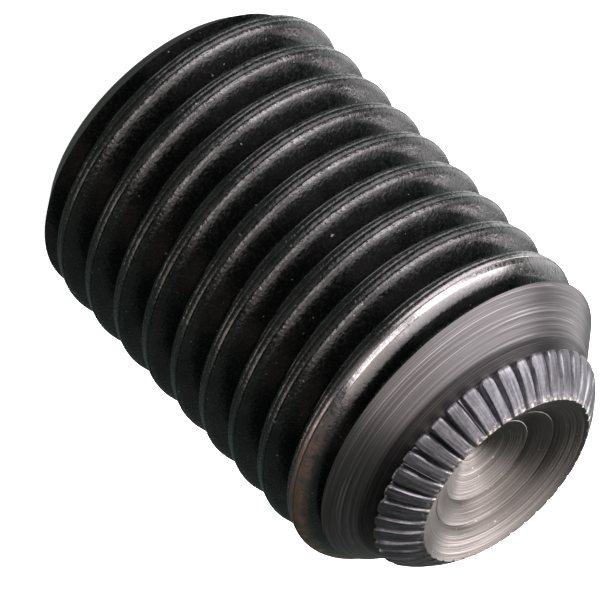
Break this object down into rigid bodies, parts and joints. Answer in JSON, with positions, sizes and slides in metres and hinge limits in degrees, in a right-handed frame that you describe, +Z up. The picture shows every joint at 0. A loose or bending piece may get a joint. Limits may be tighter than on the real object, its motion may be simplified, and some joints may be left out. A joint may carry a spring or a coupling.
{
  "type": "socket set screw",
  "caption": "Headless steel set screw with a full-length thread, a hexagon socket in one end and a knurled cup point at the other that bites into a shaft.",
  "frame": {"origin": "middle of the flat socket end, on the screw's axis, where it stands", "axes": "+Z up the screw's axis from the socket end to the cup point; -Y is the side that faces the viewer in the picture"},
  "size_m": [0.008, 0.008, 0.0116],
  "materials": {
    "black_oxide_steel": "black oxide on turned and rolled alloy steel, lightly oiled"
  },
  "bodies": {
    "root": {"set_screw": "black_oxide_steel"}
  },
  "joints": []
}
